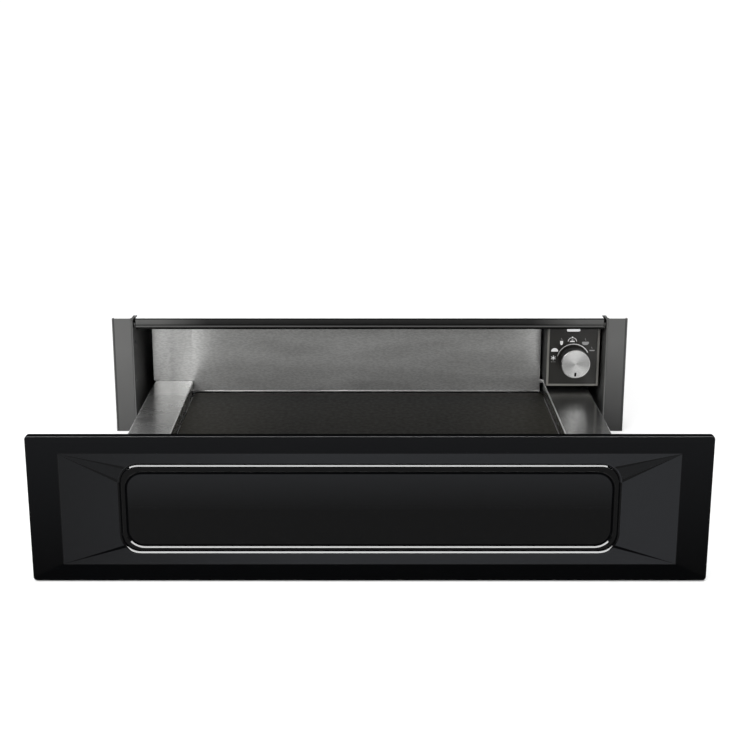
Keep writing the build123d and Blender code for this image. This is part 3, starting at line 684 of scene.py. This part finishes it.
def front_outlines():
    """Outlines of the front from the back edge to the middle panel, and the area each one starts."""
    outlines = []
    areas = []

    def outline(size, z, depth, area):
        outlines.append(rounded_outline(size, (0.0, z), front_y + depth, corner_steps))
        areas.append(area)

    edge_depth = front_high.y - front_y
    # The back, the top face and the start of the rounding take the darkest enamel, a painted shade.
    outline(grown(front_size, -back_lap), edge_z, edge_depth, DARK)
    outline(grown(front_size, -back_chamfer), edge_z, edge_depth, DARK)
    outline(front_size, edge_z, edge_depth - back_chamfer, DARK)
    for step in range(edge_steps + 1):
        angle = math.radians(90.0 * step / edge_steps)
        inset = edge_rounding * (1.0 - math.cos(angle))
        depth = edge_rounding * (1.0 - math.sin(angle))
        outline(grown(front_size, -inset), edge_z, depth, EDGE if step else DARK)
    # A thin flat band along the recess edge carries a painted shade line.
    outline(grown(recess_size, crease_outside), front_z, 0.0, CREASE_SHADE)
    outline(grown(recess_size, crease_inside), front_z, 0.0, SLOPE)
    for share in slope_shares:
        size = between(recess_size, shoulder_size, share)
        outline(size, front_z + (shoulder_z - front_z) * share, slope_depth * share, SLOPE)
    for inset, depth in (*filleted(ring_section), *panel_crown):
        size, z = ring_outline(inset)
        outline(size, z, depth, ring_area(inset))
    return outlines, areas


def slope_slot(corner, step):
    """The slopes meet in a narrow facet at the upper corners and in one line at the lower ones; the facet
    and the lines along its sides and at the lower corners are painted shade.
    """
    if step == corner_steps:
        return SLOPE
    if corner in (UPPER_LEFT, LOWER_RIGHT):
        step = corner_steps - 1 - step
    if corner in (LOWER_LEFT, LOWER_RIGHT):
        return DARK if step == crease_shade_step else SLOPE
    if step in (0, facet_end):
        return CREASE_SHADE
    return FACET_SHADE if step < facet_end else SLOPE


def front_slot(band, column):
    """Material of one face of the front."""
    corner, step = divmod(column, corner_steps + 1)
    above = corner == UPPER_RIGHT or corner == UPPER_LEFT and step < corner_steps
    below = corner == LOWER_LEFT or corner == LOWER_RIGHT and step < corner_steps
    turn = step if corner == UPPER_LEFT else corner_steps - step
    area = areas[band]
    if area == SLOPE:
        return slope_slot(corner, step)
    # Painted shade: the flank at the upper corners, the groove's lower side and the lower rounding of the
    # edge take the darkest enamel; the wall's upper side takes the slopes' paler tone, a painted sheen.
    if area == FLANK:
        return DARK if above and dark_flank_step <= turn < corner_steps else RING
    if area == GROOVE:
        return RING if above else DARK
    if area == WALL:
        return SLOPE if above else RING
    if area == EDGE:
        return DARK if below else FLAT
    return area


outlines, areas = front_outlines()
front = lofted("front_skin", outlines, enamels, cap_first=False, slot_of=front_slot)
dress(front, "drawer", "enamel", "front_panel")

# ---------------------------------------------------------------- drawer, brushed sheet and mat

tray_sheet = 1.2


def rear_wall():
    """Rear wall of the drawer, with a foot that turns to the mat and a low strip at the right."""
    low, high = node_box("back_wall")
    mat_top = node_box("floor_mat")[1].z
    ledge_top = node_box("left_ledge")[1].z
    foot_left, foot_right = -214.6, 206.8
    strip_low, strip_high = ledge_top - 3.0, ledge_top + 1.5
    return_depth = 4.0
    wall_y = high.y - return_depth - tray_sheet / 2
    return_z = high.z - tray_sheet / 2
    upper = [(high.y, return_z, 0.0), (wall_y, return_z, 1.0)]
    foot = [(wall_y, mat_top + 1.25, 0.9), (wall_y - 1.2, mat_top + 0.65, 0.0)]
    on_ledge = [(wall_y, ledge_top + 0.2, 0.0)]
    strip = [(wall_y, strip_low, 0.0), (wall_y, strip_high, 0.0)]
    made = bmesh.new()
    add_extrusion(made, sheet_outline(upper + foot, tray_sheet), "X", foot_left, foot_right)
    add_extrusion(made, sheet_outline(upper + on_ledge, tray_sheet), "X", low.x, foot_left)
    add_extrusion(made, sheet_outline(strip, tray_sheet), "X", foot_right, high.x)
    piece = smooth_object("rear_wall", made, finishes["brushed"])
    return dress(piece, "drawer", "brushed", "back_wall")


def side_ledge(name, node, side):
    """Side ledge with rounded bends: riser, top, turned-down rim, its return and the leg under it."""
    low, high = node_box(node)
    inner_edge, rim_edge = sorted((low.x, high.x), key=abs)
    riser_x = inner_edge + side * tray_sheet / 2
    rim_x = rim_edge - side * tray_sheet / 2
    leg_x = side * (node_box("tray_bottom")[1].x - tray_sheet / 2)
    top_z = high.z - tray_sheet / 2
    rim_depth = 3.0
    return_z = top_z - rim_depth
    upper_bend, lower_bend = 1.1, 0.9
    section = sheet_outline(
        [(riser_x, low.z, 0.0), (riser_x, top_z, upper_bend), (rim_x, top_z, upper_bend),
         (rim_x, return_z, lower_bend), (leg_x, return_z, lower_bend), (leg_x, low.z, 0.0)], tray_sheet)
    made = bmesh.new()
    add_extrusion(made, section, "Y", low.y, high.y, u_along=True)
    piece = smooth_object(name, made, own_finishes[node])
    dress(piece, "drawer", "brushed", node)


def soft_mat():
    """The mat on the drawer's floor, with a rounded upper edge."""
    low, high = node_box("floor_mat")
    rows = ((0.0, low.z), (0.0, high.z - 1.0), (0.3, high.z - 0.35), (1.0, high.z), (3.0, high.z))
    outlines = [flat_outline(low, high, inset, z) for inset, z in rows]
    piece = lofted("soft_mat", outlines, [finishes["mat"]])
    dress(piece, "drawer", "mat", "floor_mat")


# ---------------------------------------------------------------- knob


def knob_face():
    """The turned metal cap: a slightly hollow face and a rounded rim."""
    low, high = node_box("knob_cap")
    radius = (high.x - low.x) / 2
    hollow = ((0.0, 0.35), (4.0, 0.34), (9.0, 0.28), (13.5, 0.14), (15.4, 0.04))
    rim = ((1.1, 0.0), (0.7, 0.02), (0.3, 0.16), (0.08, 0.4), (0.0, 0.7))
    profile = [(place, low.y + depth) for place, depth in hollow]
    profile += [(radius - inset, low.y + depth) for inset, depth in rim]
    profile += [(radius, high.y - 0.25), (radius - 0.15, high.y), (0.0, high.y)]
    piece = turned("knob_face", profile, finishes["knob_metal"])
    dress(piece, "knob", "knob_metal", "knob_cap")


def knob_body():
    """The black skirt behind the cap, hollow at the back and open for the spindle."""
    low, high = node_box("knob_skirt")
    radius = (high.x - low.x) / 2
    wall = 2.4
    bore = 3.1
    pocket_y = high.y - 8.0
    profile = [
        (0.0, low.y), (radius - 0.3, low.y), (radius, low.y + 0.3), (radius, high.y - 0.5),
        (radius - 0.5, high.y), (radius - wall, high.y), (radius - wall, pocket_y), (bore, pocket_y)]
    piece = turned("knob_body", profile, finishes["black_plastic"])
    dress(piece, "knob", "black_plastic", "knob_skirt")


def pointer_bar():
    """The short black pointer in the knob's face."""
    pointer_back = node_box("knob_pointer")[1].y
    face_y = node_box("knob_cap")[0].y
    rows = ((0.0, pointer_back), (0.0, face_y + 0.16), (-0.08, face_y + 0.08), (-0.3, face_y + 0.05))
    outlines = front_rows("knob_pointer", 0.6, rows, corner_steps=5, wider=0.2)
    piece = lofted("pointer_bar", outlines, [finishes["pointer"]])
    dress(piece, "knob", "pointer", "knob_pointer")


# ---------------------------------------------------------------- control box


def fascia_frame():
    """The frame round the fascia: outside, rounded front, inside."""
    low, high = node_box("control_bezel")
    rows = (
        (0.0, high.y), (0.0, low.y + 0.5), (-0.15, low.y + 0.15), (-0.5, low.y),
        (-2.0, low.y), (-2.35, low.y + 0.12), (-2.5, low.y + 0.45), (-2.5, high.y))
    piece = closed_loft("fascia_frame", front_rows("control_bezel", 1.2, rows), finishes["bezel"])
    dress(piece, "cabinet", "bezel", "control_bezel")


def light_bar():
    """The white bar light at the top of the fascia."""
    low, high = node_box("indicator_lens")
    rows = ((0.0, high.y), (0.0, low.y + 0.25), (-0.2, low.y + 0.06), (-0.6, low.y))
    piece = lofted("light_bar", front_rows("indicator_lens", 1.2, rows), [finishes["lens"]])
    dress(piece, "cabinet", "lens", "indicator_lens")


# ---------------------------------------------------------------- rail above the opening

rail_low, rail_high = node_box("top_front_bar")
rail_face = rail_low.y
edge_back = rail_face + 2.0                  # back of the black upper edge
band_back = rail_face + 4.0                  # back of the upright band
rail_sheet = 1.5
rail_half = 271.0                            # half the length between the end tabs
flange_top = rail_high.z - rail_sheet
band_top = rail_high.z - 1.0
band_low = 131.0
groove_top = 130.6
groove_low = 128.8
nose_z = 127.8                               # the lip's foremost line
lip_low = 126.8
# Above this height the end tabs take the black of the painted shade strips.
tab_split = band_low                         # the end tabs are black above this height


def add_tabs(made, tab_front, bottom, top):
    """The tabs at both ends of the rail, between two heights."""
    for side in (-1, 1):
        inner, outer = side * rail_half, side * rail_high.x
        tab = [(inner, tab_front), (outer, tab_front), (outer, rail_high.y), (inner, rail_high.y)]
        add_extrusion(made, tab, "Z", bottom, top)


def rail_piece(name, made, sections, paint):
    """One colour of the rail, from sections that run along its length."""
    for section in sections:
        add_extrusion(made, section, "X", -rail_half, rail_half)
    piece = smooth_object(name, made, paint)
    dress(piece, "cabinet", "dark_paint", "top_front_bar")


def rail_band():
    """Upright band, with a groove under it and the flange behind it."""
    band = [
        (edge_back, band_top), (rail_face + 0.5, band_top), (rail_face + 0.6, band_low),
        (rail_face + 1.2, groove_top), (rail_face + 1.2, groove_low), (band_back, groove_low),
        (band_back, flange_top - rail_sheet), (rail_high.y, flange_top - rail_sheet),
        (rail_high.y, flange_top), (edge_back, flange_top)]
    rail_piece("cross_rail", bmesh.new(), [band], dark_paint("rail_paint_painted_sheen", 0.105, 0.15, rail_painted_sheen))


def rail_lip():
    """Rounded lip under the groove, folded back below, and the lower part of the end tabs. Its paint is
    paler than the middle of the band: a painted highlight, over the real shine of its rounding.
    """
    lip = [
        (rail_face + 1.8, groove_low), (rail_face + 0.9, groove_low - 0.1),
        (rail_face + 0.3, nose_z + 0.5), (rail_face + 0.1, nose_z), (rail_face + 0.3, nose_z - 0.6),
        (rail_face + 0.9, lip_low),
        (rail_face + 2.2, lip_low - 0.2), (rail_face + 6.0, rail_low.z), (rail_face + 9.0, rail_low.z),
        (rail_face + 9.0, rail_low.z + rail_sheet), (band_back, rail_low.z + rail_sheet),
        (band_back, groove_low)]
    made = bmesh.new()
    add_tabs(made, rail_face + 3.0, rail_low.z, tab_split)
    rail_piece("rail_lip", made, [lip], dark_paint("lip_paint_painted_highlight", 0.085))


def rail_shade_strips():
    """Black strips under the lip and over the band, and the upper part of the end tabs: dark sheets set
    where the gap under the lip, the upper edge and the slots lie in shade, a painted shade.
    """
    under_lip_shade_low = rail_low.z - 1.7
    under_lip_shade = [
        (rail_face + 2.2, lip_low), (rail_face + 2.2, under_lip_shade_low),
        (band_back, under_lip_shade_low), (band_back, lip_low)]
    edge = [
        (edge_back, rail_high.z), (rail_face + 0.8, rail_high.z), (rail_face + 0.5, rail_high.z - 0.3),
        (rail_face + 0.5, band_top), (edge_back, band_top)]
    made = bmesh.new()
    add_tabs(made, rail_face + 6.0, tab_split, flange_top)
    rail_piece("rail_shade_strips", made, [under_lip_shade, edge], dark_paint("rail_shade_paint", 0.006, 0.06))


# ---------------------------------------------------------------- pieces of the last four sections

rear = rear_wall()
side_ledge("left_side_ledge", "left_ledge", -1)
side_ledge("right_side_ledge", "right_ledge", 1)
soft_mat()
knob_face()
knob_body()
fascia_frame()
light_bar()
rail_band()
rail_lip()
rail_shade_strips()
pointer_bar()

# ---------------------------------------------------------------- marks on the fascia

fascia_y = node_box("control_fascia")[0].y
mark_y = fascia_y - 0.06
marks = bmesh.new()
BRIGHT, DIM = range(2)


def raised(outline, ink=BRIGHT):
    """A flat raised mark with the given outline of (x, z) points."""
    fronts = add_loop(marks, [(x, mark_y, z) for x, z in outline])
    backs = add_loop(marks, [(x, fascia_y, z) for x, z in outline])
    for face in (*bridge(marks, backs, fronts), marks.faces.new(fronts)):
        face.material_index = ink


def stroke(points, width, end_width=None, ink=BRIGHT):
    """A thin line of print through a row of (x, z) points."""
    end_width = end_width or width
    last = len(points) - 1
    left, right = [], []
    for index, (x, z) in enumerate(points):
        before = points[max(index - 1, 0)]
        after = points[min(index + 1, last)]
        run = Vector((after[0] - before[0], after[1] - before[1])).normalized()
        half = (width + (end_width - width) * index / last) / 2
        left.append((x - run.y * half, z + run.x * half))
        right.append((x + run.y * half, z - run.x * half))
    for index in range(last):
        raised([left[index], left[index + 1], right[index + 1], right[index]], ink)


def arc(x, z, radius, start, end, steps=24, flatten=1.0):
    """Points on an arc, in degrees from +X towards +Z."""
    points = []
    for step in range(steps + 1):
        angle = math.radians(start + (end - start) * step / steps)
        points.append((x + radius * math.cos(angle), z + radius * flatten * math.sin(angle)))
    return points


def dot(x, z, radius, ink=BRIGHT):
    """A round mark with twelve corners."""
    raised(arc(x, z, radius, 0.0, 330.0, 11), ink)


def steam(x, z, height, width):
    """One thin curl of steam."""
    steps = 8
    points = []
    for step in range(steps + 1):
        share = step / steps
        points.append((x + 0.45 * math.sin(share * 2.0 * math.pi), z + height * share))
    stroke(points, width, ink=DIM)


def dial_scale():
    """The arc round the knob, thin at the left and wider to the right."""
    scale_radius = 19.0
    scale_start, scale_end = 167.0, 27.0
    stroke(arc(spindle_x, spindle_z, scale_radius, scale_start, scale_end, 60), 0.4, 1.1)


def snowflake(x, z):
    """Six arms, as three crossing strokes, with a dot on each, and three drops below."""
    for turn in range(3):
        lean = math.radians(30.0 + 60.0 * turn)
        dx, dz = math.cos(lean), math.sin(lean)
        stroke([(x - 2.9 * dx, z - 2.9 * dz), (x + 2.9 * dx, z + 2.9 * dz)], 0.6)
        dot(x + 2.4 * dx, z + 2.4 * dz, 0.45)
        dot(x - 2.4 * dx, z - 2.4 * dz, 0.45)
    for offset in (-2.0, 0.0, 2.0):
        dot(x + offset, z - 4.9, 0.45, DIM)


def bread(x, z):
    """A loaf, drawn as a full dome."""
    raised(arc(x, z - 1.4, 4.1, 180.0, 0.0, 16, 0.85) + [(x + 4.1, z - 2.2), (x - 4.1, z - 2.2)])


def mug(x, z):
    """A filled mug with one curl of steam."""
    raised([(x - 1.8, z + 2.4), (x + 1.8, z + 2.4), (x + 1.5, z - 1.4), (x + 0.8, z - 2.6),
            (x - 0.8, z - 2.6), (x - 1.5, z - 1.4)])
    steam(x + 0.1, z + 3.4, 2.4, 0.45)


def cloche(x, z):
    """A cover over two plates."""
    stroke(arc(x, z - 2.4, 5.0, 178.0, 2.0, 18, 0.95), 0.7)
    dot(x, z + 3.0, 0.8)
    raised([(x - 3.1, z - 2.9), (x + 3.1, z - 2.9), (x + 2.4, z - 1.5), (x - 2.4, z - 1.5)])
    dot(x, z - 0.4, 1.2, DIM)


def bowl(x, z):
    """A filled bowl with one curl of steam."""
    raised([(x - 4.1, z + 1.2), (x - 3.4, z + 1.9), (x + 3.4, z + 1.9), (x + 4.1, z + 1.2),
            (x + 3.6, z - 0.8), (x + 2.2, z - 2.0), (x - 2.2, z - 2.0), (x - 3.6, z - 0.8)], DIM)
    steam(x, z + 3.4, 2.4, 0.4)


def plate(x, z):
    """A flat plate with one curl of steam."""
    raised([(x - 3.4, z + 0.3), (x + 3.4, z + 0.3), (x + 2.6, z - 0.9), (x - 2.6, z - 0.9)], DIM)
    steam(x - 0.3, z + 1.8, 2.2, 0.35)


dial_scale()
snowflake(216.9, 84.1)
bread(218.2, 94.0)
mug(226.0, 102.5)
cloche(238.7, 106.5)
bowl(254.1, 102.0)
plate(262.2, 93.5)
inks = (print_ink_with_painted_glow("white_print", 0.85), print_ink_with_painted_glow("grey_print", 0.3))
print_piece = smooth_object("fascia_print", marks, *inks)
dress(print_piece, "cabinet", "white_plastic")

# ---------------------------------------------------------------- finishes of the CAD nodes

for part in frame["record"]["subparts"]:
    node = nodes[part["node"]]
    node.data.materials.clear()
    node.data.materials.append(own_finishes.get(part["node"], finishes[part["material_slot"]]))

# ---------------------------------------------------------------- studio, in metres

floor_mesh = bmesh.new()
bmesh.ops.create_circle(floor_mesh, cap_ends=True, segments=128, radius=40.0)
floor = smooth_object("floor", floor_mesh, paper_floor())
floor.location.z = -0.0002

world = bpy.data.worlds.new("studio")
world.use_nodes = True
background = world.node_tree.nodes["Background"]
background.inputs["Color"].default_value = (1.0, 1.0, 1.0, 1.0)
background.inputs["Strength"].default_value = 0.55
bpy.context.scene.world = world


def add_light(name, data, place, target):
    """A lamp that points at a target."""
    made = bpy.data.objects.new(name, data)
    made.location = place
    direction = Vector(target) - Vector(place)
    made.rotation_euler = direction.to_track_quat("-Z", "Y").to_euler()
    bpy.context.scene.collection.objects.link(made)
    return made


def collection_of(name, member):
    """A collection for light linking, with one piece."""
    made = bpy.data.collections.new(name)
    made.objects.link(member)
    return made


def card(name, place, target, width, height, brightness, only_in=None):
    """A lamp with an even face; it may show only in the shine of one piece."""
    data = bpy.data.lights.new(name, "AREA")
    data.shape = "RECTANGLE"
    data.size = width
    data.size_y = height
    data.energy = brightness * math.pi * width * height
    made = add_light(name, data, place, target)
    made.visible_camera = False
    if only_in:
        made.light_linking.receiver_collection = collection_of(name + "_receivers", only_in)
        made.visible_diffuse = False


def key_light():
    """A wide soft sun from above, which isn't seen in reflections."""
    data = bpy.data.lights.new("key", "SUN")
    data.energy = 1.6
    data.angle = math.radians(30.0)
    made = add_light("key", data, (0.0, -0.2, 1.6), (0.0, 0.0, 0.0))
    made.visible_glossy = False


def floor_fill():
    """Light from above without shadows, which only the floor sees."""
    data = bpy.data.lights.new("floor_fill", "SUN")
    data.energy = 0.5
    made = add_light("floor_fill", data, (0.0, 0.0, 2.0), (0.0, 0.001, 0.0))
    floor_only = collection_of("floor_only", floor)
    made.light_linking.receiver_collection = floor_only
    made.light_linking.blocker_collection = floor_only


key_light()
card("edge_card", (0.0, -1.66, 0.95), (0.0, -0.65, 0.07), 3.6, 0.8, 100.0, only_in=front)
card("left_card", (-1.35, -1.75, 1.15), (-0.2, -0.3, 0.1), 1.6, 0.8, 4.0)
card("front_card", (0.0, -1.9, 1.5), (0.0, -0.3, 0.1), 2.6, 0.5, 1.2)
card("wall_card", (0.0, -1.9, 0.6), (0.0, -0.3, 0.1), 3.4, 0.9, 2.0, only_in=rear)
floor_fill()
card("back_card", (0.0, 2.2, 0.75), (0.0, 0.0, 0.1), 2.6, 1.2, 1.3, only_in=nodes["top_cover"])

bpy.context.scene.view_settings.view_transform = "Standard"
